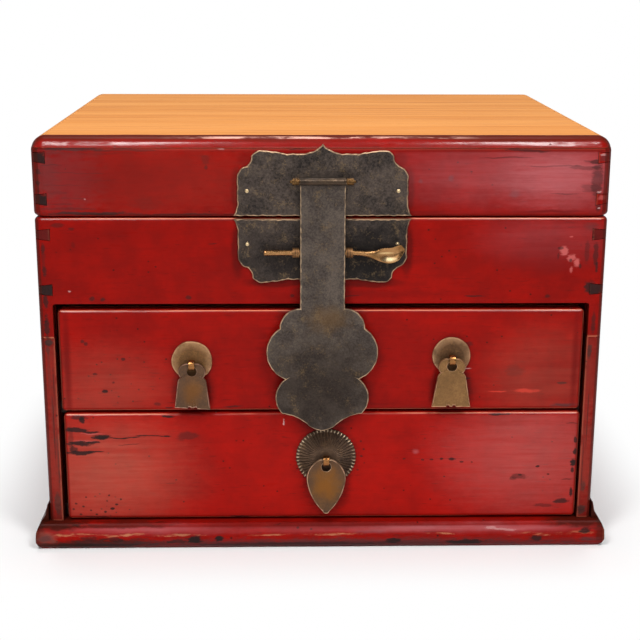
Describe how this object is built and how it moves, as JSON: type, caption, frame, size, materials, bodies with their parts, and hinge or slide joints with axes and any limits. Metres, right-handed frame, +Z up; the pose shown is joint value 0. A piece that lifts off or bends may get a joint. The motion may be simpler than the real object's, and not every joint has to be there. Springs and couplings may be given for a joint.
{
  "type": "lacquer chest",
  "caption": "Red lacquer dressing chest with a hinged honey-topped lid over a tray, stacked drawers with hanging brass pulls, and a butterfly lock plate with a long hasp and a lock pin.",
  "frame": {"origin": "on the ground under the middle of the chest", "axes": "+Z up, the front with the lock faces -Y, +X to the right of someone facing the front"},
  "size_m": [0.3954, 0.3232, 0.285],
  "materials": {
    "red_lacquer": "worn red lacquer, satin",
    "honey_lacquer": "clear honey lacquer over streaked grain",
    "inner_wood": "plain dry wood",
    "dark_bronze": "dark patina with bright edges",
    "worn_brass": "aged brass",
    "copper_brass": "rubbed coppery brass"
  },
  "bodies": {
    "case": {"base_front_rail": "red_lacquer", "base_back_rail": "red_lacquer", "base_left_rail": "red_lacquer", "base_right_rail": "red_lacquer", "bottom_board": "inner_wood", "left_side": "red_lacquer", "right_side": "red_lacquer", "back_board": "red_lacquer", "front_panel": "red_lacquer", "tray_floor": "inner_wood", "drawer_divider": "inner_wood", "case_lock_plate": "dark_bronze", "case_nail_left": "copper_brass", "case_nail_right": "copper_brass", "pin_eyelet_left": "copper_brass", "pin_eyelet_right": "copper_brass", "left_hinge_case_leaf": "worn_brass", "right_hinge_case_leaf": "worn_brass", "left_hinge_pin": "worn_brass", "right_hinge_pin": "worn_brass"},
    "lid": {"lid_top": "honey_lacquer", "lid_front": "red_lacquer", "lid_back": "red_lacquer", "lid_left": "red_lacquer", "lid_right": "red_lacquer", "lid_lock_plate": "dark_bronze", "lid_nail_left": "copper_brass", "lid_nail_right": "copper_brass", "hasp_eyelet_left": "copper_brass", "hasp_eyelet_right": "copper_brass", "hasp_bar": "copper_brass", "left_hinge_lid_leaf": "worn_brass", "right_hinge_lid_leaf": "worn_brass"},
    "hasp": {"hasp": "dark_bronze"},
    "lock_pin": {"lock_pin": "copper_brass"},
    "upper_drawer": {"upper_drawer_front": "red_lacquer", "upper_drawer_left": "inner_wood", "upper_drawer_right": "inner_wood", "upper_drawer_back": "inner_wood", "upper_drawer_bottom": "inner_wood", "left_pull_disc": "worn_brass", "left_pull_eye": "copper_brass", "right_pull_disc": "worn_brass", "right_pull_eye": "copper_brass"},
    "left_pull": {"left_pull_pendant": "worn_brass"},
    "right_pull": {"right_pull_pendant": "worn_brass"},
    "lower_drawer": {"lower_drawer_front": "red_lacquer", "lower_drawer_left": "inner_wood", "lower_drawer_right": "inner_wood", "lower_drawer_back": "inner_wood", "lower_drawer_bottom": "inner_wood", "lower_pull_rosette": "worn_brass", "lower_pull_eye": "copper_brass"},
    "lower_pull": {"lower_pull_pendant": "worn_brass"}
  },
  "joints": [
    {"name": "lid_hinge", "type": "hinge", "parent": "case", "child": "lid", "pos_m": [0, 0.1549, 0.2323], "axis": [-1, 0, 0], "range_deg": [0, 100]},
    {"name": "hasp_swing", "type": "hinge", "parent": "lid", "child": "hasp", "pos_m": [0, -0.16105, 0.2572], "axis": [-1, 0, 0], "range_deg": [0, 100]},
    {"name": "lock_pin_slide", "type": "slide", "parent": "case", "child": "lock_pin", "axis": [1, 0, 0], "range_m": [0, 0.055]},
    {"name": "upper_drawer_slide", "type": "slide", "parent": "case", "child": "upper_drawer", "axis": [0, -1, 0], "range_m": [0, 0.18]},
    {"name": "left_pull_swing", "type": "hinge", "parent": "upper_drawer", "child": "left_pull", "pos_m": [-0.0876, -0.15695, 0.1327], "axis": [-1, 0, 0], "range_deg": [0, 85]},
    {"name": "right_pull_swing", "type": "hinge", "parent": "upper_drawer", "child": "right_pull", "pos_m": [0.0876, -0.15695, 0.1357], "axis": [-1, 0, 0], "range_deg": [0, 85]},
    {"name": "lower_drawer_slide", "type": "slide", "parent": "case", "child": "lower_drawer", "axis": [0, -1, 0], "range_m": [0, 0.18]},
    {"name": "lower_pull_swing", "type": "hinge", "parent": "lower_drawer", "child": "lower_pull", "pos_m": [0.003, -0.15945, 0.0648], "axis": [-1, 0, 0], "range_deg": [0, 85]}
  ],
  "couplings": [
    {"joint": "upper_drawer_slide", "follows": "hasp_swing", "m_per_rad": 0.103},
    {"joint": "lower_drawer_slide", "follows": "hasp_swing", "m_per_rad": 0.103}
  ]
}
